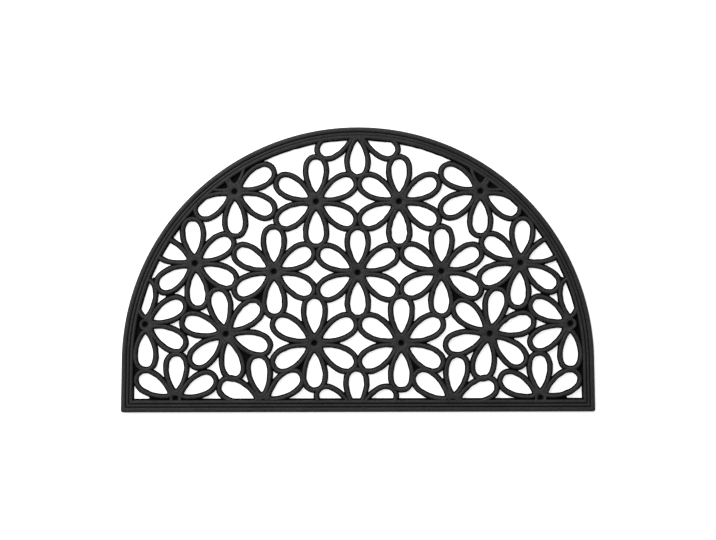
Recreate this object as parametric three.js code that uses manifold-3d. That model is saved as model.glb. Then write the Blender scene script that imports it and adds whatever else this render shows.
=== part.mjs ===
// A half-round openwork rubber doormat, moulded in one piece, in millimetres with +Z up.
// It lies flat. The origin is under the middle of its box, +X runs along the straight edge
// and +Y points to the top of the arch.

import * as THREE from 'three';
import { mergeVertices } from 'three/addons/utils/BufferGeometryUtils.js';
import Module from 'manifold-3d';

// Outline: a straight edge, two short straight sides and a half-round arch
const matWidth = 750; // across the feet of the two sides
const matDepth = 450; // straight edge to the top of the arch
const sideFlare = 1.6; // each side stands this much further out at its foot than at the arch
const archRadius = matWidth / 2 - sideFlare;
const archHeight = matDepth - archRadius; // from the straight edge to the arch's centre
const archSteps = 36;

// Heights above the floor
const matHeight = 8; // tops of the ribs and crests of the border's ridges
const webHeight = 3.4; // low webs that close the small gaps and pockets
const overrun = 2; // how far blanks and cutters run past the faces they are cut to

// Border: three ridges with two grooves between them, measured in from the outer edge
const borderWidth = 21;
const ridgeInsets = [3.8, 9.9, 15.9];
const grooveInsets = [7, 12.9];
const grooveHeight = 5.2;
const wallHeight = 4.2; // the border's outer and inner walls
const seat = 1; // how far the ribs run into the border's inner wall

// A petal's opening: pointed towards the hub and round at the tip, widening upwards
const petalStart = 15; // hub centre to the pointed end
const petalLength = 51;
const petalHalfWidth = 12;
const pointPower = 1.64; // larger draws the pointed end out thinner
const roundPower = 0.86; // smaller makes the tip blunter
const petalSteps = 12;
const petalPitch = Math.PI / 3; // angle between two petals

// The rib round each opening
const ribWidth = 8.8;
const ribBevel = 3; // how much wider the opening is at the top than at the floor

// Hub: a round boss with a dimple, which runs out in a groove between each two petals
const hubRadius = 8.6;
const hubSides = 8;
const dimpleRadius = 5.2;
const dimpleHeight = 3; // its lowest point, above the floor
const grooveReach = 37; // hub centre to the end of a groove

// Low webs: a bar in each notch between two petals, and round patches
const notchStart = 27; // hub centre to the bar's inner end, hidden under the ribs
const notchReach = 39.5; // hub centre to the open part of the notch
const notchWidth = 7.4;
const patchSides = 6;

// Flowers, by hub: x is the distance from the mat's axis, y the distance from the straight edge,
// turn is in degrees, tipping the left flower counterclockwise, and size scales its petals.
// Petals are numbered counterclockwise from the one that points to the arch. A row with x below 0
// stands on the left alone.
const allPetals = [0, 1, 2, 3, 4, 5];
const flowerRows = [
  { place: 'arch pair', x: 65.7, y: 332.5, turn: 0, size: 1, petals: allPetals },
  { place: 'middle row, outer', x: 132.3, y: 222, turn: 0, size: 1, petals: allPetals },
  { place: 'middle row, centre', x: 0, y: 220.3, turn: 0, size: 1, petals: allPetals },
  { place: 'lower pair', x: 68.7, y: 108.8, turn: 0, size: 1.05, petals: allPetals },
  { place: 'shoulder', x: 194.3, y: 348.4, turn: 0.7, size: 1, petals: allPetals },
  { place: 'flank', x: 256.9, y: 235.3, turn: 4, size: 1, petals: allPetals },
  { place: 'side', x: 335.9, y: 138.7, turn: 0.3, size: 1, petals: [0, 3, 4, 5] },
  { place: 'lower row, outer', x: 208.3, y: 123.6, turn: 11.8, size: 1.02, petals: allPetals },
  { place: 'corner', x: 288.3, y: 22, turn: -1.5, size: 1, petals: [0, 1, 5] },
  { place: 'straight edge', x: 149.8, y: 15.6, turn: 7.3, size: 1.065, petals: [0, 1, 5] },
  { place: 'straight edge, centre', x: -2, y: -2, turn: 0, size: 1, petals: [0, 1, 5] },
  { place: 'top of the arch', x: 0, y: 442.6, turn: 0, size: 1, petals: [2, 3, 4] },
];

// Small gaps and pockets that are closed by a low web, placed as the flowers are
const patchRows = [
  { place: 'shoulder pockets', x: 201, y: 365, radius: 18 },
  { place: 'above the shoulder', x: 178, y: 380, radius: 7 },
  { place: 'under the shoulder', x: 261, y: 312, radius: 5 },
  { place: 'behind the side hub', x: 350, y: 138, radius: 18 },
  { place: 'beside the side petal', x: 352, y: 118, radius: 6 },
  { place: 'over the side petal', x: 321, y: 208.5, radius: 5 },
  { place: 'below the arch pair', x: 66, y: 257, radius: 4 },
  { place: 'beside the arch pair', x: 131, y: 365, radius: 4 },
  { place: 'inside the flank', x: 231.5, y: 197, radius: 8.5 },
  { place: 'below the middle row', x: 156, y: 181.5, radius: 9 },
  { place: 'below the flank', x: 261.5, y: 163, radius: 9.5 },
  { place: 'inside the side flower', x: 278, y: 130, radius: 4 },
  { place: 'by the lower pair', x: 91.5, y: 70, radius: 7 },
  { place: 'outside the lower pair', x: 139, y: 80, radius: 4 },
  { place: 'under the side petal', x: 350.5, y: 68, radius: 8 },
  { place: 'outside the corner hub', x: 320, y: 19, radius: 11 },
  { place: 'inside the corner hub', x: 256, y: 19, radius: 9.8 },
  { place: 'at the corner hub', x: 299, y: 20, radius: 6 },
  { place: 'over the straight edge', x: -177.3, y: 88, radius: 11.3 },
];

const wasm = await Module();
wasm.setup();

function toSolid(geometry) {
  geometry.deleteAttribute('normal');
  geometry.deleteAttribute('uv');
  const merged = mergeVertices(geometry, 1e-4);
  const vertProperties = new Float32Array(merged.attributes.position.array);
  const triVerts = new Uint32Array(merged.index.array);
  return new wasm.Manifold(new wasm.Mesh({ numProp: 3, vertProperties, triVerts }));
}

function toGeometry(solid) {
  const mesh = solid.getMesh();
  const geometry = new THREE.BufferGeometry();
  geometry.setAttribute('position', new THREE.BufferAttribute(mesh.vertProperties, 3));
  geometry.setIndex(new THREE.BufferAttribute(mesh.triVerts, 1));
  geometry.computeVertexNormals();
  return geometry;
}

// The way outwards at each point of a counterclockwise outline, mitred so that walls stay flat
function mitred(outline) {
  return outline.map((point, i) => {
    const before = outline.at(i - 1);
    const after = outline[(i + 1) % outline.length];
    const first = new THREE.Vector2(point.y - before.y, before.x - point.x).normalize();
    const second = new THREE.Vector2(after.y - point.y, point.x - after.x).normalize();
    const outwards = first.clone().add(second).divideScalar(1 + first.dot(second));
    return { point, outwards };
  });
}

function offset(outline, distance) {
  return mitred(outline).map(({ point, outwards }) => outwards.multiplyScalar(distance).add(point));
}

// Carries a section of [outwards, height] points round an outline: a lathe shape, its vertices
// moved onto the outline. A section that starts and ends at 'middle' makes a solid block.
function carry(section, outline, middle) {
  const stations = mitred(outline);
  const profile = section.map(([out, height]) => new THREE.Vector2(out === 'middle' ? 0 : 1, height));
  const lathe = new THREE.LatheGeometry(profile, stations.length);
  const position = lathe.attributes.position;
  for (let i = 0; i < position.count; i++) {
    const { point, outwards } = stations[Math.floor(i / section.length) % stations.length];
    const [out, height] = section[i % section.length];
    const place = out === 'middle' ? middle : outwards.clone().multiplyScalar(out).add(point);
    position.setXYZ(i, place.x, place.y, height);
  }
  return toSolid(lathe);
}

// A block on an outline, which may widen upwards
function block(outline, bottom, top, widening = 0) {
  const middle = outline.reduce((sum, point) => sum.add(point), new THREE.Vector2());
  middle.divideScalar(outline.length);
  return carry([['middle', bottom], [0, bottom], [widening, top], ['middle', top]], outline, middle);
}

function disc({ x, y }, radius, sides, bottom, top) {
  const cylinder = new THREE.CylinderGeometry(radius, radius, top - bottom, sides);
  return toSolid(cylinder.rotateX(Math.PI / 2).translate(x, y, (top + bottom) / 2));
}

// Puts each row on the left of the axis and, where x is above 0, mirrored on the right
function onBothSides(rows) {
  return rows.flatMap(({ x, y, turn = 0, size = 1, petals = [], radius }) => {
    const left = { x: -Math.abs(x), y: y - matDepth / 2, turn, size, petals, radius };
    const mirrored = petals.map((petal) => (allPetals.length - petal) % allPetals.length);
    return x > 0 ? [left, { ...left, x, turn: -turn, petals: mirrored }] : [left];
  });
}

function petalAngle({ turn }, petal) {
  return Math.PI / 2 + petal * petalPitch + THREE.MathUtils.degToRad(turn);
}

// The opening's edge at the floor, counterclockwise from its pointed end. At angle t round it,
// the distance out along the petal goes as sin(t/2) squared, and the half-width as
// sin(t/2) to the pointPower times cos(t/2) to the roundPower.
function petalOutline(flower, petal) {
  const swell = (s, c) => s ** pointPower * Math.abs(c) ** roundPower * Math.sign(c);
  const power = pointPower + roundPower;
  const widest = swell(Math.sqrt(pointPower / power), Math.sqrt(roundPower / power));
  return Array.from({ length: petalSteps }, (_, i) => {
    const half = Math.PI * i / petalSteps;
    const along = petalStart + petalLength * Math.sin(half) ** 2;
    const across = -petalHalfWidth * swell(Math.sin(half), Math.cos(half)) / widest;
    const point = new THREE.Vector2(along, across).multiplyScalar(flower.size);
    return point.rotateAround(new THREE.Vector2(), petalAngle(flower, petal)).add(flower);
  });
}

function ribBlanks(flower) {
  const outlines = flower.petals.map((petal) => offset(petalOutline(flower, petal), ribWidth));
  const blanks = outlines.map((outline) => block(outline, -overrun, matHeight + overrun));
  return [...blanks, disc(flower, hubRadius, hubSides, -overrun, matHeight + overrun)];
}

function openings(flower) {
  const slope = ribBevel / matHeight;
  const outlines = flower.petals.map((petal) => offset(petalOutline(flower, petal), -slope * overrun));
  const widening = slope * (matHeight + 2 * overrun);
  return outlines.map((outline) => block(outline, -overrun, matHeight + overrun, widening));
}

// The first petal of each two that are side by side
function notches({ petals }) {
  return petals.filter((petal) => petals.includes((petal + 1) % allPetals.length));
}

// A cone on a star, upside down: its tips are the ends of the grooves
function hubStar(flower) {
  const spread = (matHeight + overrun - dimpleHeight) / (matHeight - dimpleHeight);
  const star = allPetals.flatMap((petal) => {
    const reach = notches(flower).includes(petal) ? grooveReach * flower.size : dimpleRadius;
    const inner = new THREE.Vector2(dimpleRadius * spread, 0);
    const tip = new THREE.Vector2(reach * spread, 0);
    const origin = new THREE.Vector2();
    return [
      inner.rotateAround(origin, petalAngle(flower, petal)).add(flower),
      tip.rotateAround(origin, petalAngle(flower, petal + 0.5)).add(flower),
    ];
  });
  const section = [['middle', dimpleHeight], [0, matHeight + overrun], ['middle', matHeight + overrun]];
  return carry(section, star, flower);
}

function notchWebs(flower) {
  const length = (notchReach - notchStart) * flower.size;
  return notches(flower).map((petal) => {
    const web = new THREE.BoxGeometry(length, notchWidth, webHeight + overrun);
    web.translate(notchStart * flower.size + length / 2, 0, (webHeight - overrun) / 2);
    return toSolid(web.rotateZ(petalAngle(flower, petal + 0.5)).translate(flower.x, flower.y, 0));
  });
}

function patch(row) {
  return disc(row, row.radius, patchSides, -overrun, webHeight);
}

// The mat's outline, counterclockwise from the right end of the arch
function matOutline() {
  const centre = new THREE.Vector2(0, archHeight - matDepth / 2);
  const arch = Array.from({ length: archSteps + 1 }, (_, i) => {
    const point = new THREE.Vector2(archRadius, 0).add(centre);
    return point.rotateAround(centre, Math.PI * i / archSteps);
  });
  const feet = [-1, 1].map((side) => new THREE.Vector2(side * matWidth / 2, -matDepth / 2));
  return [...arch, ...feet];
}

function border() {
  const [outerRidge, middleRidge, innerRidge] = ridgeInsets;
  const [outerGroove, innerGroove] = grooveInsets;
  const section = [
    [-borderWidth, -overrun],
    [0, -overrun],
    [0, wallHeight],
    [-outerRidge, matHeight],
    [-outerGroove, grooveHeight],
    [-middleRidge, matHeight],
    [-innerGroove, grooveHeight],
    [-innerRidge, matHeight],
    [-borderWidth, wallHeight],
    [-borderWidth, -overrun],
  ];
  return carry(section, matOutline());
}

function mat() {
  const flowers = onBothSides(flowerRows);
  const blanks = wasm.Manifold.union(flowers.flatMap(ribBlanks));
  const cutters = wasm.Manifold.union([...flowers.flatMap(openings), ...flowers.map(hubStar)]);
  const webs = wasm.Manifold.union([...flowers.flatMap(notchWebs), ...onBothSides(patchRows).map(patch)]);
  const field = block(offset(matOutline(), seat - borderWidth), -overrun, matHeight + overrun);
  const pattern = blanks.subtract(cutters).add(webs).intersect(field);
  const room = block(offset(matOutline(), overrun), 0, matHeight);
  return pattern.add(border()).intersect(room);
}

const rubber = new THREE.MeshStandardMaterial({ color: 0x2a2a2b, roughness: 0.6, metalness: 0 });
const group = new THREE.Group();
const matMesh = new THREE.Mesh(toGeometry(mat()), rubber);
matMesh.name = 'mat';
group.add(matMesh);

export default group;
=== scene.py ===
# A half-round openwork rubber doormat, moulded in one piece, lying on a pale studio floor.
import math

import bmesh
import bpy
import numpy as np
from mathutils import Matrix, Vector


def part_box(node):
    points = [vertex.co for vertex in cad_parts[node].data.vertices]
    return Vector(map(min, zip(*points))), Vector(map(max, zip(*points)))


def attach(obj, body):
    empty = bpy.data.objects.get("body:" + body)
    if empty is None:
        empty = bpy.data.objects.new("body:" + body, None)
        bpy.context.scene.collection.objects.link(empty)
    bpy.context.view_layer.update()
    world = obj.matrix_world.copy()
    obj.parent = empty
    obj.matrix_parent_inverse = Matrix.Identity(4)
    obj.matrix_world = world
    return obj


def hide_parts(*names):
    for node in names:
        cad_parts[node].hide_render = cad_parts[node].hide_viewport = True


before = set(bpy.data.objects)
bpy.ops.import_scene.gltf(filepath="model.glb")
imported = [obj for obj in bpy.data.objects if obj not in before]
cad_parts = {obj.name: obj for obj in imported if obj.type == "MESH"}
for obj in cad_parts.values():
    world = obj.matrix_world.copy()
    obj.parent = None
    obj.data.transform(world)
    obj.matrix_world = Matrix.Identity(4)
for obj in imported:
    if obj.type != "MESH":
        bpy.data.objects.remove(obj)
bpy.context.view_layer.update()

matLow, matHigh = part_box("mat")
matWidth, matDepth, matHeight = matHigh - matLow
mm = 0.001
overrun = 2 * mm  # how far a cutting solid runs past what it cuts


# Mesh tools

def newPiece(name, points, triangles):
    mesh = bpy.data.meshes.new(name)
    mesh.from_pydata(points.reshape(-1, 3).tolist(), [], triangles.reshape(-1, 3).tolist())
    return bpy.data.objects.new(name, mesh)


# Two triangles for each cell of a grid of point numbers, between its corners a, b, c and d in turn
def cells(a, b, c, d):
    return np.stack([a, b, c, a, c, d], axis=-1).reshape(-1, 3)


# Joins a grid of points into a mesh: cell (i, j) has corners (i, j), (i + 1, j), (i + 1, j + 1) and
# (i, j + 1). Both directions close on themselves, so the result is a tube bent into a ring.
def ringMesh(name, points):
    rows, columns = points.shape[:2]
    number = np.arange(rows * columns).reshape(rows, columns)
    across = np.roll(number, -1, axis=1)
    along, diagonal = np.roll(number, -1, axis=0), np.roll(across, -1, axis=0)
    return newPiece(name, points, cells(number, along, diagonal, across))


# Stacks closed loops, lowest first, into a solid: cells between the loops, and at each end a fan round its
# middle, or round another point of the plan that each loop can be seen from
def stackMesh(name, loops, middle=None):
    count, sides = loops.shape[:2]
    number = np.arange(count * sides).reshape(count, sides)
    following = np.roll(number, -1, axis=1)
    walls = cells(number[:-1], following[:-1], following[1:], number[1:])
    low, high = np.full(sides, count * sides), np.full(sides, count * sides + 1)
    lowFan = np.stack([low, following[0], number[0]], axis=-1)
    highFan = np.stack([high, number[-1], following[-1]], axis=-1)
    ends = loops[[0, -1]].mean(axis=1)
    if middle is not None:
        ends[:, :2] = middle
    points = np.vstack([loops.reshape(-1, 3), ends])
    return newPiece(name, points, np.vstack([walls, lowFan, highFan]))


# The way outwards at each point of a counterclockwise loop: the sum of the two neighbouring edges' normals,
# divided by 1 plus their dot product, so that a wall carried along it keeps its thickness at a corner.
def outwards(loop):
    edge = np.roll(loop, -1, axis=0) - loop
    edge /= np.linalg.norm(edge, axis=1, keepdims=True)
    after = np.stack([edge[:, 1], -edge[:, 0]], axis=-1)
    before = np.roll(after, 1, axis=0)
    return (before + after) / (1 + (before * after).sum(axis=1, keepdims=True))


def unit(vectors):
    return vectors / np.linalg.norm(vectors, axis=1, keepdims=True)


def atHeight(loop, height):
    return np.column_stack([loop, np.full(len(loop), height)])


# An upright solid on a loop, from well under the floor up to a height, for a boolean to work with
def uprightSolid(name, loop, height, middle=None):
    return stackMesh(name, np.stack([atHeight(loop, -2 * overrun), atHeight(loop, height)]), middle)


# Boolean of one object with many: each lies in a collection of its own for the time of the cut.
def combine(operation, first, others):
    tools = bpy.data.collections.new("tools")
    for other in others:
        tools.objects.link(other)
    bpy.context.scene.collection.objects.link(first)
    boolean = first.modifiers.new("boolean", "BOOLEAN")
    boolean.operation = operation
    boolean.solver = "MANIFOLD"
    boolean.operand_type = "COLLECTION"
    boolean.collection = tools
    evaluated = first.evaluated_get(bpy.context.evaluated_depsgraph_get())
    mesh = bpy.data.meshes.new_from_object(evaluated)
    result = bpy.data.objects.new(first.name, mesh)
    for used in [first, *others]:
        usedMesh = used.data
        bpy.data.objects.remove(used)
        bpy.data.meshes.remove(usedMesh)
    bpy.data.collections.remove(tools)
    return result


clean = {
    "shortEdge": 0.02 * mm,  # edges shorter than this are closed up
    "samePoint": 0.001 * mm,  # and points nearer than this are joined
    "sharpAngle": math.radians(38),  # between two faces, from which the edge shows
}


# Cleans what the booleans leave. Short edges are closed up, and edges that then bound no face go. Then each
# point takes the lowest number among its neighbours until none changes, so a joined part's points share one
# number, and all but the largest part goes. Points between just two edges go last, because the faces on both
# sides would be cut along the same line there.
def cleanUp(mesh):
    points = bmesh.new()
    points.from_mesh(mesh)
    bmesh.ops.dissolve_degenerate(points, dist=clean["shortEdge"], edges=points.edges)
    bare = [edge for edge in points.edges if not edge.link_faces]
    bmesh.ops.delete(points, geom=bare, context="EDGES")
    points.to_mesh(mesh)
    points.free()
    edges = np.empty(len(mesh.edges) * 2, dtype=np.int32)
    mesh.edges.foreach_get("vertices", edges)
    a, b = edges.reshape(-1, 2).T
    label = np.arange(len(mesh.vertices))
    settled = False
    while not settled:
        before = label.copy()
        lower = np.minimum(label[a], label[b])
        np.minimum.at(label, a, lower)
        np.minimum.at(label, b, lower)
        label = label[label]
        settled = (label == before).all()
    main = np.bincount(label).argmax()
    points = bmesh.new()
    points.from_mesh(mesh)
    points.verts.ensure_lookup_table()
    specks = [points.verts[k] for k in np.flatnonzero(label != main)]
    bmesh.ops.delete(points, geom=specks, context="VERTS")
    between = [point for point in points.verts if len(point.link_edges) == 2]
    bmesh.ops.dissolve_verts(points, verts=between)
    bmesh.ops.remove_doubles(points, verts=points.verts[:], dist=clean["samePoint"])
    points.to_mesh(mesh)
    points.free()


# Outline: a straight edge, two short straight sides and a half-round arch
outline = {
    "sideFlare": 1.6 * mm,  # each side stands this much further out at its foot than at the arch
    "archStep": 9 * mm,  # distance between the points along the arch
    "sideStep": 30 * mm,  # and along the straight lines, more than the border's width
    "cornerRadius": 4 * mm,
    "cornerPoints": 7,
}
archRadius = matWidth / 2 - outline["sideFlare"]
archMiddle = matHigh.y - archRadius


# Points along a straight line, without its last one, about one step apart
def straight(start, end):
    count = max(1, round(math.dist(start, end) / outline["sideStep"]))
    return np.linspace(start, end, count, endpoint=False)


# Counterclockwise from the right end of the arch: (r cos a, middle + r sin a) for a from 0 to half a turn,
# then straight down the left side, along the straight edge and up the right side
def matLoop():
    angle = np.linspace(0, np.pi, round(np.pi * archRadius / outline["archStep"]), endpoint=False)
    arch = np.column_stack([np.cos(angle), np.sin(angle)]) * archRadius + (0, archMiddle)
    corners = [(-archRadius, archMiddle), (matLow.x, matLow.y),
               (matHigh.x, matLow.y), (archRadius, archMiddle)]
    sides = [straight(start, end) for start, end in zip(corners, corners[1:])]
    return np.vstack([arch, *sides])


# A solid that fills the mat's outline, drawn in from the edge by an inset and taller than the mat
def fieldSolid(inset):
    loop = matLoop()
    return uprightSolid("field", loop - outwards(loop) * inset, matHeight + overrun)


# What cuts the underside flat: a grid at floor level, a little wider than the mat, closed by a fan to a
# point below
def underTool():
    step, margin, depth = 12 * mm, 10 * mm, 200 * mm
    x = np.arange(matLow.x - margin, matHigh.x + margin + step, step)
    y = np.arange(matLow.y - margin, matHigh.y + margin + step, step)
    number = np.arange(len(x) * len(y)).reshape(len(x), len(y))
    top = cells(number[:-1, :-1], number[1:, :-1], number[1:, 1:], number[:-1, 1:])
    rim = np.concatenate([number[:-1, 0], number[-1, :-1], number[:0:-1, -1], number[0, :0:-1]])
    fan = np.stack([np.full(len(rim), number.size), np.roll(rim, -1), rim], axis=-1)
    places = np.stack(np.meshgrid(x, y, [0.0], indexing="ij"), axis=-1).reshape(-1, 3)
    return newPiece("under", np.vstack([places, [x.mean(), y.mean(), -depth]]), np.vstack([top, fan]))


# What rounds a square corner off: the room between it and the arc
# corner + r * inwards * (1 - cos a, 1 - sin a)
def cornerTool(side):
    radius = outline["cornerRadius"]
    corner = np.array([side * matHigh.x, matLow.y])
    inwards = np.array([-side, 1])
    angle = np.linspace(0, np.pi / 2, outline["cornerPoints"])
    arc = corner + radius * inwards * (1 - np.column_stack([np.cos(angle), np.sin(angle)]))
    outside = corner - inwards * overrun
    loop = np.vstack([arc, [arc[-1, 0], outside[1]], outside, [outside[0], arc[0, 1]]])[::side]
    return uprightSolid("corner", loop, matHeight + overrun, corner - inwards * overrun / 2)


# A bead's height over its base, as a share: (1 - |d| ^ power) ^ 0.5, with d from -1 to 1 across it
def beadShare(d, power):
    return np.sqrt(np.clip(1 - np.abs(d) ** power, 0, 1))


# Border: three rounded ridges and a low inner ledge, measured in from the outer edge
border = {
    "width": 20.8 * mm,
    "ridgeMiddles": np.array([4.3, 10.2, 15.6]) * mm,
    "ridgeHalves": np.array([3.4, 2.3, 2.75]) * mm,
    "grooveHeight": 4.6 * mm,
    "ledgeHeight": 3.2 * mm,
    "ledgeGap": 0.2 * mm,  # from the last ridge to the ledge
    "ledgeRound": 0.6 * mm,  # how far in the ledge's edge starts to fall off
    "ledgeDrop": 0.7 * mm,  # and how far it falls
    "wallHeight": 3.6 * mm,
    "ridgePoints": 9,
    "ridgePower": 2.3,  # larger makes the ridges flatter on top
    "straightStretch": 1.05,  # how much wider the border is along the straight edge
    "archFill": 2.3 * mm,  # how much shallower the inner groove is at the top of the arch
    "waver": 0.5 * mm,  # how uneven the inner edge is along the arch
}


# The border's section, carried round the outline. Over each ridge the height is
# groove + (top - groove) * beadShare, with d as the distance from the ridge's middle over its half width.
# The inner groove rises, and the inner edge wavers, with the sine of the arch's angle. What faces the
# straight edge is stretched along Y alone, so the corners' mitres still meet.
def makeBorder(rng):
    loop = matLoop()
    way = outwards(loop)
    onArch = np.clip(way[:, 1], 0, 1)[:, None]
    across = np.sin(np.linspace(-np.pi / 2, np.pi / 2, border["ridgePoints"]))
    rise = beadShare(across, border["ridgePower"])
    insets = [np.zeros(2)]
    heights = [np.tile([-overrun, border["wallHeight"]], (len(loop), 1))]
    for number, (middle, half) in enumerate(zip(border["ridgeMiddles"], border["ridgeHalves"])):
        inset = middle + half * across
        byInnerGroove = across > 0 if number == 1 else (across < 0) & (number == 2)
        groove = border["grooveHeight"] + border["archFill"] * onArch * byInnerGroove
        insets.append(inset)
        heights.append(groove + (matHeight - groove) * rise)
    ledge, width = border["ledgeHeight"], border["width"]
    ridgeEnd = border["ridgeMiddles"][-1] + border["ridgeHalves"][-1]
    insets.append([ridgeEnd + border["ledgeGap"], width - border["ledgeRound"], width, width])
    heights.append(np.tile([ledge, ledge, ledge - border["ledgeDrop"], -overrun], (len(loop), 1)))
    way[:, 1] *= np.where(way[:, 1] < 0, border["straightStretch"], 1)
    inset = np.tile(np.concatenate(insets), (len(loop), 1))
    inset[:, -3:] += rng.uniform(-1, 1, (len(loop), 1)) * border["waver"] * onArch
    plan = loop[:, None] - way[:, None] * inset[:, :, None]
    return ringMesh("border", np.concatenate([plan, np.concatenate(heights, axis=1)[:, :, None]], axis=2))


# A petal: an opening, pointed towards the hub and round at its tip, with a beaded rib round it
petal = {
    "start": 15.3 * mm,  # hub's centre to the pointed end
    "length": 50.4 * mm,
    "halfWidth": 11.7 * mm,
    "pointPower": 1.64,  # larger draws the pointed end out thinner
    "roundPower": 0.86,  # smaller makes the tip blunter
    "pitch": np.pi / 3,  # angle between two petals
    "ribWidth": 9.5 * mm,
    "shelf": 1.8 * mm,  # low flat edge on each side of the bead
    "shelfHeight": 3 * mm,
    "softEdge": 0.5 * mm,  # how far the shelf's outer edge is rounded
    "edgePoints": 720,  # points that the opening's edge is measured with
    "stations": 46,  # sections along a rib
    "stationsAtTurns": 6 * mm,  # length that each radian of turn counts as, when they are spread
    "beadPoints": 9,
    "beadPower": 2.8,  # larger makes the bead flatter on top and steeper at its sides
    "waver": 0.42 * mm,  # how uneven the moulded edges are
    "steadyPoint": 12 * mm,  # they waver less this near to the pointed end
}

# Flowers by hub, in millimetres: x from the mat's axis, y from the straight edge. Turn in degrees tips the
# left flower counterclockwise, and size scales its petals. Petals count counterclockwise from the one towards
# the arch. A row with x below 0 is on the left alone. Most places, turns and sizes are the results of a
# minimiser run on the photo, averaged left and right and rounded.
allPetals = [0, 1, 2, 3, 4, 5]
flowers = [
    dict(place="arch pair", x=65.7, y=332.6, turn=0, size=1.006, petals=allPetals),
    dict(place="middle row, outer", x=132.3, y=222.2, turn=0.4, size=1.008, petals=allPetals),
    dict(place="middle row, centre", x=0, y=220.4, turn=0, size=1.01, petals=allPetals),
    dict(place="lower pair", x=68.7, y=109, turn=0, size=1.058, petals=allPetals),
    dict(place="shoulder", x=194.2, y=348.6, turn=0.7, size=1, petals=allPetals, closed=[0, 1]),
    dict(place="flank", x=256.9, y=235.3, turn=4.1, size=1.008, petals=allPetals),
    dict(place="side", x=335.8, y=139.1, turn=0, size=1.015, petals=[0, 3, 4, 5]),
    dict(place="lower row, outer", x=208.4, y=123.7, turn=11.8, size=1.034, petals=allPetals),
    dict(place="corner", x=288.4, y=22, turn=-1.6, size=1.008, petals=[0, 1, 5]),
    dict(place="straight edge", x=149.8, y=15.6, turn=7.3, size=1.065, petals=[0, 1, 5]),
    dict(place="straight edge, centre", x=-2.6, y=-2.2, turn=0, size=1, petals=[0, 1, 5]),
    dict(place="top of the arch", x=0, y=443.2, turn=0, size=1.012, petals=[2, 3, 4]),
]

# Small gaps and pockets closed by a low web, placed as the flowers are. Some of these places were read from
# the middles of closed pockets that a scratch script measured in the photo.
patches = [
    dict(place="shoulder pockets", x=201, y=365, radius=18),
    dict(place="above the shoulder", x=178, y=380, radius=7),
    dict(place="under the shoulder", x=261, y=312, radius=5),
    dict(place="behind the side hub", x=350, y=138, radius=18),
    dict(place="beside the side petal", x=352, y=118, radius=6),
    dict(place="over the side petal", x=321, y=208.5, radius=5),
    dict(place="below the arch pair", x=66, y=257, radius=4),
    dict(place="beside the arch pair", x=131, y=365, radius=4),
    dict(place="inside the flank", x=231.5, y=197, radius=8.5),
    dict(place="below the middle row", x=156, y=181.5, radius=9),
    dict(place="below the flank", x=261.5, y=164, radius=12),
    dict(place="inside the side flower", x=278, y=130, radius=4),
    dict(place="by the lower pair", x=91.5, y=70, radius=7),
    dict(place="outside the lower pair", x=139, y=80, radius=4),
    dict(place="under the side petal", x=350.5, y=68, radius=8),
    dict(place="outside the corner hub", x=320, y=19, radius=11),
    dict(place="inside the corner hub", x=256, y=19, radius=9.8),
    dict(place="at the corner hub", x=299, y=20, radius=6),
    dict(place="over the straight edge", x=-177.3, y=88, radius=11.3),
]


# Puts each row on the left of the axis and, where x is above 0, mirrored on the right, in metres and radians
def bothSides(rows):
    placed = []
    for row in rows:
        hub = np.array([-abs(row["x"]) * mm, matLow.y + row["y"] * mm])
        left = {**row, "hub": hub, "turn": math.radians(row.get("turn", 0))}
        placed.append(left)
        if row["x"] > 0:
            mirrored = {key: [-number % len(allPetals) for number in row.get(key, [])]
                        for key in ("petals", "closed")}
            placed.append({**left, **mirrored, "hub": hub * (-1, 1), "turn": -left["turn"]})
    return placed


def petalAngle(flower, number):
    return np.pi / 2 + number * petal["pitch"] + flower["turn"]


# Turns points from (along, across) a petal to the mat's x and y, scaled by the flower's size
def fromPetal(flower, number, along, across):
    angle = petalAngle(flower, number)
    x = along * np.cos(angle) - across * np.sin(angle)
    y = along * np.sin(angle) + across * np.cos(angle)
    return flower["hub"] + flower["size"] * np.stack([x, y], axis=-1)


# The opening's edge at angle t round it: along = start + length * sin(t/2) ^ 2, and
# across = -halfWidth * sin(t/2) ^ pointPower * cos(t/2) ^ roundPower, over that product's highest value
def openingLoop(flower, number, count):
    half = np.pi * np.arange(count) / count
    sine, cosine = np.sin(half), np.cos(half)
    point, tip = petal["pointPower"], petal["roundPower"]
    swell = sine ** point * np.abs(cosine) ** tip * np.sign(cosine)
    widest = (point / (point + tip)) ** (point / 2) * (tip / (point + tip)) ** (tip / 2)
    return fromPetal(flower, number, petal["start"] + petal["length"] * sine ** 2,
                     -petal["halfWidth"] * swell / widest)


# A gentle seeded wave round a closed loop: the mean of a few sines, each with a whole number of turns
def wave(rng, share):
    sines, fewest, most = 3, 3, 13
    turns = rng.integers(fewest, most + 1, sines)
    phases = rng.uniform(0, 2 * np.pi, sines)
    return np.sin(2 * np.pi * share[:, None] * turns + phases).mean(axis=1)


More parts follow.
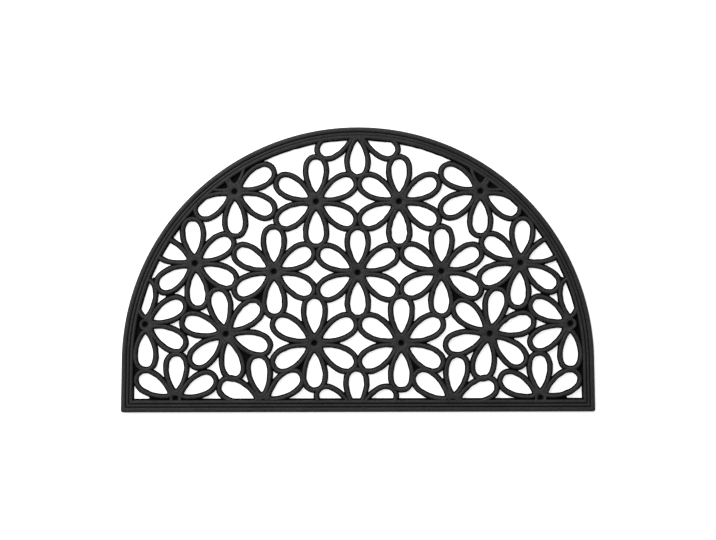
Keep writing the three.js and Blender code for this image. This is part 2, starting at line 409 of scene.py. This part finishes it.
# A petal's rib: its section is carried round the opening's edge, at stations spread by crest length plus a
# length for each radian of turn. The outer and the inner third of its width waver, each on its own.
def makeRib(flower, number, rng):
    dense = openingLoop(flower, number, petal["edgePoints"])
    normal = unit(outwards(dense))
    crest = dense + normal * petal["ribWidth"] / 2
    ahead = np.roll(crest, -1, axis=0) - crest
    aheadNormal = np.roll(normal, -1, axis=0)
    cross = normal[:, 0] * aheadNormal[:, 1] - normal[:, 1] * aheadNormal[:, 0]
    turning = np.abs(np.arcsin(np.clip(cross, -1, 1)))
    steps = np.linalg.norm(ahead, axis=1) + petal["stationsAtTurns"] * turning
    way = np.concatenate([[0], np.cumsum(steps)])
    share = np.arange(petal["stations"]) / petal["stations"]
    closed = np.vstack([dense, dense[:1]])
    closedNormal = np.vstack([normal, normal[:1]])
    edge = np.column_stack([np.interp(share * way[-1], way, closed[:, k]) for k in range(2)])
    out = unit(np.column_stack([np.interp(share * way[-1], way, closedNormal[:, k]) for k in range(2)]))

    width, shelf, low, soft = petal["ribWidth"], petal["shelf"], petal["shelfHeight"], petal["softEdge"]
    across = np.sin(np.linspace(np.pi / 2, -np.pi / 2, petal["beadPoints"]))
    bead = low + (matHeight - low) * beadShare(across, petal["beadPower"])
    middle, half = width / 2, width / 2 - shelf
    distance = np.concatenate([[0, width, width, width - soft], middle + half * across, [soft, 0]])
    rounded, wall = low - soft / 4, low - 1.5 * soft  # heights at the two ends of the shelf's soft edge
    height = np.concatenate([[-overrun, -overrun, wall, rounded], bead, [rounded, wall]])
    outerSide = np.clip(distance / width * 3 - 2, 0, 1)
    innerSide = np.clip(1 - distance / width * 3, 0, 1)
    steady = np.clip(np.linalg.norm(edge - edge[0], axis=1) / petal["steadyPoint"], 0, 1)
    outerWave = wave(rng, share) * petal["waver"] * steady
    innerWave = wave(rng, share) * petal["waver"] * steady
    place = distance + outerWave[:, None] * outerSide + innerWave[:, None] * innerSide
    plan = edge[:, None] + out[:, None] * place[:, :, None]
    points = np.concatenate([plan, np.broadcast_to(height[None, :, None], (*plan.shape[:2], 1))], axis=2)
    return ringMesh("rib", points)


# Hub: a flat boss with a deep dimple. It fills the room between the ribs' crests, so the ribs run together in
# it, and slopes down into the groove between each two petals. Both lists are in millimetres.
hub = {
    "radius": 9 * mm,  # where no petal or groove is beside it
    # how far it reaches into a groove, and the height there
    "slope": [(29, -2), (29, 2.8), (26.5, 4), (24, 5.2), (21, 6.3), (18, 7.1), (15, 7.6), (12, 7.85)],
    "dimple": [(6.5, 7.9), (5.6, 7.5), (4.9, 6.6), (4.3, 5.2), (3.6, 3.9), (2.6, 3.1)],  # radius and height
    "sides": 60,
    "edgePoints": 180,  # points that each opening's edge is measured with
    "search": (5, 31, 0.5),  # first, end and step, in millimetres, of the search outwards for a crest
    "angleSlack": 0.01,  # radians added to half a petal's pitch, so that its limit is inside
}


# The first petal of each two that are side by side
def notches(flower):
    return [number for number in flower["petals"] if (number + 1) % len(allPetals) in flower["petals"]]


# How far apart two angles are, from 0 to half a turn
def apart(a, b):
    return np.abs((a - b + np.pi) % (2 * np.pi) - np.pi)


# At each angle the boss's radius is the smaller of two: where that way first comes within half a rib's width
# of an opening, which is on a rib's crest, and the row's reach within 30 degrees of a groove, or the plain
# radius elsewhere
def makeHub(flower):
    angle = flower["turn"] + 2 * np.pi * np.arange(hub["sides"]) / hub["sides"]
    circle = np.column_stack([np.cos(angle), np.sin(angle)])
    ways = np.arange(*hub["search"]) * mm
    places = flower["hub"] + circle[:, None] * ways[:, None]
    edges = np.vstack([openingLoop(flower, number, hub["edgePoints"]) for number in flower["petals"]])
    gap = np.linalg.norm(places[:, :, None] - edges, axis=3).min(axis=2)
    onRib = gap < petal["ribWidth"] / 2
    crest = np.where(onRib.any(axis=1), ways[onRib.argmax(axis=1)], np.inf)
    grooves = np.array([petalAngle(flower, number + 0.5) for number in notches(flower)])
    beside = (apart(angle[:, None], grooves) < petal["pitch"] / 2 + hub["angleSlack"]).any(axis=1)
    loops = []
    for reach, height in hub["slope"]:
        radius = np.minimum(crest, np.where(beside, reach * mm, hub["radius"]))
        loops.append(atHeight(flower["hub"] + circle * radius[:, None], height * mm))
    for radius, height in hub["dimple"]:
        loops.append(atHeight(flower["hub"] + circle * radius * mm, height * mm))
    return stackMesh("hub", np.stack(loops))


# Low webs: thin skins of rubber that close the corners between ribs
web = {
    "height": 2.6 * mm,
    "edge": 0.5 * mm,  # radius of its top edge
    "notchStart": 27 * mm,  # hub's centre to a notch web's inner end, hidden under the ribs
    "notchReach": 39.5 * mm,
    "notchWidth": 7.4 * mm,
    "contactLength": 18 * mm,
    "contactWidth": 6 * mm,
    "hollow": 1.2 * mm,  # how far its open ends curve in
    "endPoints": 7,
    "patchSides": 24,
    "contactPoints": 90,  # points that each opening's edge is measured with
    "contactLeast": 4 * mm,  # least gap between two openings that touch, rib to rib
    "contactSlack": 0.4 * mm,  # added to two ribs' widths for the most
    "contactFar": 100 * mm,  # petals whose middles are further apart are passed over
    "cutPoints": 40,
    "cutGrowth": 0.7,  # how far out from the opening a web is cut off, in millimetres
}


# A low solid on a loop: up its wall, in by the edge's radius, and flat on top
def lowSolid(name, loop):
    way = outwards(loop)
    inner = loop - way * web["edge"]
    return stackMesh(name, np.stack([
        atHeight(loop, -overrun),
        atHeight(loop, web["height"] - web["edge"]),
        atHeight(inner, web["height"]),
    ]))


# A bar with ends that curve in: x = half length - hollow * (1 - (y / half width) ^ 2) at its end
def barLoop(middle, direction, length, width):
    y = np.linspace(-1, 1, web["endPoints"])
    x = length / 2 - web["hollow"] * (1 - y ** 2)
    right = np.column_stack([x, y * width / 2])
    loop = np.vstack([right, -right])
    across = np.array([-direction[1], direction[0]])
    return middle + loop[:, :1] * direction + loop[:, 1:] * across


# One web in each notch between two petals that are side by side
def notchWebs(flower):
    solids = []
    for number in notches(flower):
        angle = petalAngle(flower, number + 0.5)
        direction = np.array([np.cos(angle), np.sin(angle)])
        start, reach = web["notchStart"] * flower["size"], web["notchReach"] * flower["size"]
        middle = flower["hub"] + direction * (start + reach) / 2
        solids.append(lowSolid("web", barLoop(middle, direction, reach - start, web["notchWidth"])))
    return solids


# One web across each touch of two petals of different flowers: midway between the two nearest points of their
# openings, if those lie closer than two ribs, and at a right angle to the line between them
def contactWebs(placed):
    loops = [(k, openingLoop(flower, number, web["contactPoints"]))
             for k, flower in enumerate(placed) for number in flower["petals"]]
    solids = []
    for a, (flowerA, loopA) in enumerate(loops):
        for flowerB, loopB in loops[a + 1:]:
            between = np.linalg.norm(loopA.mean(axis=0) - loopB.mean(axis=0))
            if flowerA == flowerB or between > web["contactFar"]:
                continue
            gaps = np.linalg.norm(loopA[:, None] - loopB[None], axis=2)
            i, j = np.unravel_index(gaps.argmin(), gaps.shape)
            gap = gaps[i, j]
            if web["contactLeast"] < gap < 2 * petal["ribWidth"] + web["contactSlack"]:
                toward = (loopB[j] - loopA[i]) / gap
                direction = np.array([-toward[1], toward[0]])
                middle = (loopA[i] + loopB[j]) / 2
                bar = barLoop(middle, direction, web["contactLength"], web["contactWidth"])
                solids.append(lowSolid("web", bar))
    return solids


def patchWeb(row):
    angle = 2 * np.pi * np.arange(web["patchSides"]) / web["patchSides"]
    circle = np.column_stack([np.cos(angle), np.sin(angle)])
    return lowSolid("web", row["hub"] + circle * row["radius"] * mm)


# An opening as a solid, grown a little into the rib, to cut a web that reaches into it
def openingSolid(flower, number):
    loop = openingLoop(flower, number, web["cutPoints"])
    return uprightSolid("opening", loop + outwards(loop) * web["cutGrowth"] * mm, matHeight)


# Share of openwork at each point, as an attribute of the mesh: a straight ramp over the inset from the
# outline. That is archRadius less the distance from the arch's middle, or below that middle from the axis,
# and at most the distance from the straight edge.
def markOpenwork(mesh):
    points = np.empty(len(mesh.vertices) * 3)
    mesh.vertices.foreach_get("co", points)
    x, y = points.reshape(-1, 3)[:, :2].T
    fromMiddle = np.hypot(x, np.maximum(y - archMiddle, 0))
    inset = np.minimum(archRadius - fromMiddle, y - matLow.y)
    start = border["ridgeMiddles"][-1]
    share = np.clip((inset - start) / (border["width"] - start), 0, 1)
    mesh.attributes.new("openwork", "FLOAT", "POINT").data.foreach_set("value", share)


seed = 11


def makeMat():
    rng = np.random.default_rng(seed)
    placed = bothSides(flowers)
    ribs = [makeRib(flower, number, rng) for flower in placed for number in flower["petals"]]
    hubs = [makeHub(flower) for flower in placed]
    webs = [solid for flower in placed for solid in notchWebs(flower)]
    webs += contactWebs(placed) + [patchWeb(row) for row in bothSides(patches)]
    print(f"mat: {len(ribs)} ribs, {len(hubs)} hubs and {len(webs)} webs")
    holes = [openingSolid(flower, number) for flower in placed for number in flower["petals"]
             if number not in flower.get("closed", [])]
    webs = combine("DIFFERENCE", combine("UNION", webs[0], webs[1:]), holes)
    openwork = combine("UNION", ribs[0], ribs[1:] + hubs + [webs])
    openwork = combine("INTERSECT", openwork, [fieldSolid(border["ridgeMiddles"][-1])])
    whole = combine("UNION", makeBorder(rng), [openwork])
    whole = combine("DIFFERENCE", whole, [underTool(), cornerTool(-1), cornerTool(1)])
    cleanUp(whole.data)
    markOpenwork(whole.data)
    whole.name = whole.data.name = "doormat"
    bpy.context.scene.collection.objects.link(whole)
    whole.data.shade_smooth()
    whole.data.set_sharp_from_angle(angle=clean["sharpAngle"])
    triangles = sum(len(face.vertices) - 2 for face in whole.data.polygons)
    print(f"mat: {triangles} triangles")
    return whole


doormat = makeMat()


# Node groups, shared by the materials

def newGroup(name, inputs, outputs):
    group = bpy.data.node_groups.new(name, "ShaderNodeTree")
    for label, value in inputs.items():
        socket = group.interface.new_socket(name=label, in_out="INPUT", socket_type="NodeSocketFloat")
        socket.default_value = value
    for label in outputs:
        group.interface.new_socket(name=label, in_out="OUTPUT", socket_type="NodeSocketFloat")
    return group, group.nodes.new("NodeGroupInput"), group.nodes.new("NodeGroupOutput")


# Adds a node to a tree, sets its properties and joins or sets its inputs, by name or number
def addNode(tree, kind, inputs=None, **properties):
    node = tree.nodes.new("ShaderNode" + kind)
    for key, value in properties.items():
        setattr(node, key, value)
    for key, value in (inputs or {}).items():
        if isinstance(value, bpy.types.NodeSocket):
            tree.links.new(value, node.inputs[key])
        else:
            node.inputs[key].default_value = value
    return node


# Mould height: 0 at and below Low, 1 at and above High, on a smooth step. Heights are in metres above the
# floor.
def heightGroup():
    group, given, result = newGroup("mouldHeight", {"Low": 0.003, "High": 0.008}, ["Mask"])
    place = addNode(group, "TexCoord").outputs["Object"]
    height = addNode(group, "SeparateXYZ", {0: place}).outputs["Z"]
    step = addNode(group, "MapRange", {"Value": height, "From Min": given.outputs["Low"],
                                       "From Max": given.outputs["High"]}, interpolation_type="SMOOTHSTEP")
    group.links.new(step.outputs["Result"], result.inputs["Mask"])
    return group


# Rubber grain: crumbs of the size given, in metres, with fine pits between them, mixed by Fine Share.
# The mask is the same mix, spread from 0 to 1 over the middle of its range.
def grainGroup():
    group, given, result = newGroup("rubberGrain", {"Size": 0.002, "Fine Share": 0.4}, ["Height", "Mask"])
    place = addNode(group, "TexCoord").outputs["Object"]
    scale = addNode(group, "Math", {0: 1.0, 1: given.outputs["Size"]}, operation="DIVIDE").outputs[0]
    crumbs = addNode(group, "TexNoise", {"Vector": place, "Scale": scale, "Detail": 2.5, "Roughness": 0.6})
    fineScale = addNode(group, "Math", {0: scale, 1: 4.5}, operation="MULTIPLY").outputs[0]
    pits = addNode(group, "TexVoronoi", {"Vector": place, "Scale": fineScale})
    mix = addNode(group, "Mix", {"Factor": given.outputs["Fine Share"], "A": crumbs.outputs["Fac"],
                                 "B": pits.outputs["Distance"]}, data_type="FLOAT")
    spread = addNode(group, "MapRange", {"Value": mix.outputs["Result"], "From Min": 0.38, "From Max": 0.6})
    group.links.new(mix.outputs["Result"], result.inputs["Height"])
    group.links.new(spread.outputs["Result"], result.inputs["Mask"])
    return group


# Dust: soft clouds on what faces up. The mask is the upward share of the normal, times clouds, times Amount.
def dustGroup():
    group, given, result = newGroup("dust", {"Size": 0.06, "Amount": 0.5}, ["Mask"])
    place = addNode(group, "TexCoord").outputs["Object"]
    scale = addNode(group, "Math", {0: 1.0, 1: given.outputs["Size"]}, operation="DIVIDE").outputs[0]
    clouds = addNode(group, "TexNoise", {"Vector": place, "Scale": scale, "Detail": 6.0, "Roughness": 0.65})
    soft = addNode(group, "MapRange", {"Value": clouds.outputs["Fac"], "From Min": 0.35, "From Max": 0.7},
                   interpolation_type="SMOOTHSTEP").outputs["Result"]
    normal = addNode(group, "NewGeometry").outputs["Normal"]
    upward = addNode(group, "SeparateXYZ", {0: normal}).outputs["Z"]
    facing = addNode(group, "Math", {0: upward, 1: soft}, operation="MULTIPLY", use_clamp=True).outputs[0]
    amount = addNode(group, "Math", {0: facing, 1: given.outputs["Amount"]}, operation="MULTIPLY").outputs[0]
    group.links.new(amount, result.inputs["Mask"])
    return group


groups = {"height": heightGroup(), "grain": grainGroup(), "dust": dustGroup()}


def useGroup(tree, name, **values):
    node = tree.nodes.new("ShaderNodeGroup")
    node.node_tree = groups[name]
    for label, value in values.items():
        node.inputs[label.replace("_", " ")].default_value = value
    return node


def newMaterial(name):
    material = bpy.data.materials.new(name)
    material.use_nodes = True
    return material, material.node_tree.nodes["Principled BSDF"]


# Black moulded rubber: painted shade makes it near black in the recesses and a painted highlight makes the
# tops greyer; the grain mottles the tops
rubber = {
    # painted shade colour for the recesses and painted highlight colour for the tops, mixed by height
    "paintedShadeColor": (0.0008, 0.0008, 0.0009, 1),
    "litTopColor": (0.0355, 0.0355, 0.036, 1),
    "dustColor": (0.06, 0.059, 0.058, 1),
    "recessTop": 0.003,  # height in metres that all recesses lie below, where the painted shade is full
    "litFrom": 0.0079,  # and height from which the tops carry the full painted highlight
    "grainOpenwork": (0.12, 1),  # share of the top's colour between the openwork's crumbs and on them
    "grainBorder": (0.22, 0.8),  # and the same on the border, which is more even
    "roughRecess": 0.9,
    "roughTop": 0.55,
    "specular": 0.12,
    "grainSize": 0.0021,
    "fineShare": 0.4,
    "grainDepth": 0.0003,
    "grainStrength": 0.7,
    "dustSize": 0.05,
    "dustAmount": 0.3,
}


# Color: painted shade and highlight from recess to top by the height mask, which the grain mottles; then
# dust, on the lit tops alone
def rubberMaterial():
    material, shader = newMaterial("blackRubber")
    tree = material.node_tree
    height = useGroup(tree, "height", Low=rubber["recessTop"], High=rubber["litFrom"]).outputs["Mask"]
    grain = useGroup(tree, "grain", Size=rubber["grainSize"], Fine_Share=rubber["fineShare"])
    dust = useGroup(tree, "dust", Size=rubber["dustSize"], Amount=rubber["dustAmount"]).outputs["Mask"]
    openwork = addNode(tree, "Attribute", attribute_name="openwork").outputs["Fac"]
    ramps = [addNode(tree, "MapRange", {"Value": openwork, "To Min": onBorder, "To Max": onOpenwork})
             for onBorder, onOpenwork in zip(rubber["grainBorder"], rubber["grainOpenwork"])]
    least, most = [ramp.outputs["Result"] for ramp in ramps]
    uneven = addNode(tree, "MapRange", {"Value": grain.outputs["Mask"], "To Min": least, "To Max": most})
    # painted shade low down and painted highlight on the tops, by height, times the grain's mottle
    paintedLightAndGrain = addNode(tree, "Math", {0: height, 1: uneven.outputs["Result"]}, operation="MULTIPLY").outputs[0]
    dustOnTops = addNode(tree, "Math", {0: dust, 1: paintedLightAndGrain}, operation="MULTIPLY").outputs[0]
    # mixes the painted shade colour into the recesses and the painted highlight colour onto the tops
    color = addNode(tree, "Mix", {"Factor": paintedLightAndGrain, "A": rubber["paintedShadeColor"], "B": rubber["litTopColor"]},
                    data_type="RGBA")
    dusty = addNode(tree, "Mix", {"Factor": dustOnTops, "B": rubber["dustColor"]}, data_type="RGBA")
    tree.links.new(color.outputs["Result"], dusty.inputs["A"])
    rough = addNode(tree, "MapRange", {"Value": height, "To Min": rubber["roughRecess"],
                                       "To Max": rubber["roughTop"]}).outputs["Result"]
    bump = addNode(tree, "Bump", {"Height": grain.outputs["Height"], "Distance": rubber["grainDepth"],
                                  "Strength": rubber["grainStrength"]})
    tree.links.new(dusty.outputs["Result"], shader.inputs["Base Color"])
    tree.links.new(rough, shader.inputs["Roughness"])
    tree.links.new(bump.outputs["Normal"], shader.inputs["Normal"])
    shader.inputs["Specular IOR Level"].default_value = rubber["specular"]
    return material


doormat.data.materials.clear()
doormat.data.materials.append(rubberMaterial())
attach(doormat, "root")
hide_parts("mat")


# Studio: a white floor, soft light all round and a large light on the arch's side
studio = {
    "floorSize": 12,
    "floorDrop": 0.05 * mm,  # how far the floor lies under the mat's underside
    "floorColor": (0.9, 0.9, 0.9, 1),
    "floorRoughness": 0.9,
    "floorGlow": 0.5,  # lifts the floor to the photo's plain white
    "skyStrength": 0.6,
    "lightPower": 75,
    "lightPlace": (-1.25, 1.5, 1.6),
    "lightSize": (2.4, 1.2),
    "cameraHeight": 4.2,
    "sensorWidth": 36,
    "millimetresPerPixel": 1.5813,
    "pictureWidth": 716,
    "pictureMiddle": (0.4 * mm, -0.6 * mm),
    "roll": math.radians(-0.12),
}


def makeStudio():
    bpy.ops.mesh.primitive_plane_add(size=studio["floorSize"], location=(0, 0, -studio["floorDrop"]))
    floor = bpy.context.active_object
    floor.name = "floor"
    material, shader = newMaterial("paleFloor")
    shader.inputs["Base Color"].default_value = studio["floorColor"]
    shader.inputs["Roughness"].default_value = studio["floorRoughness"]
    shader.inputs["Emission Color"].default_value = (1, 1, 1, 1)
    shader.inputs["Emission Strength"].default_value = studio["floorGlow"]
    floor.data.materials.append(material)

    world = bpy.data.worlds.new("studioSky")
    bpy.context.scene.world = world
    world.use_nodes = True
    background = world.node_tree.nodes["Background"]
    background.inputs["Color"].default_value = (1, 1, 1, 1)
    background.inputs["Strength"].default_value = studio["skyStrength"]

    light = bpy.data.lights.new("archLight", "AREA")
    light.shape = "RECTANGLE"
    light.size, light.size_y = studio["lightSize"]
    light.energy = studio["lightPower"]
    lamp = bpy.data.objects.new("archLight", light)
    lamp.location = studio["lightPlace"]
    lamp.rotation_euler = Vector(studio["lightPlace"]).to_track_quat("Z", "Y").to_euler()
    bpy.context.scene.collection.objects.link(lamp)


# Straight above: field of view across = picture's width in metres over the camera's height
def makeCamera():
    camera = bpy.data.cameras.new("above")
    across = studio["pictureWidth"] * studio["millimetresPerPixel"] * mm
    camera.sensor_width = studio["sensorWidth"]
    camera.lens = camera.sensor_width * studio["cameraHeight"] / across
    holder = bpy.data.objects.new("above", camera)
    holder.location = (*studio["pictureMiddle"], studio["cameraHeight"])
    holder.rotation_euler = (0, 0, studio["roll"])
    bpy.context.scene.collection.objects.link(holder)
    bpy.context.scene.camera = holder


makeStudio()
makeCamera()
bpy.context.scene.view_settings.view_transform = "Standard"
print("studio ready")
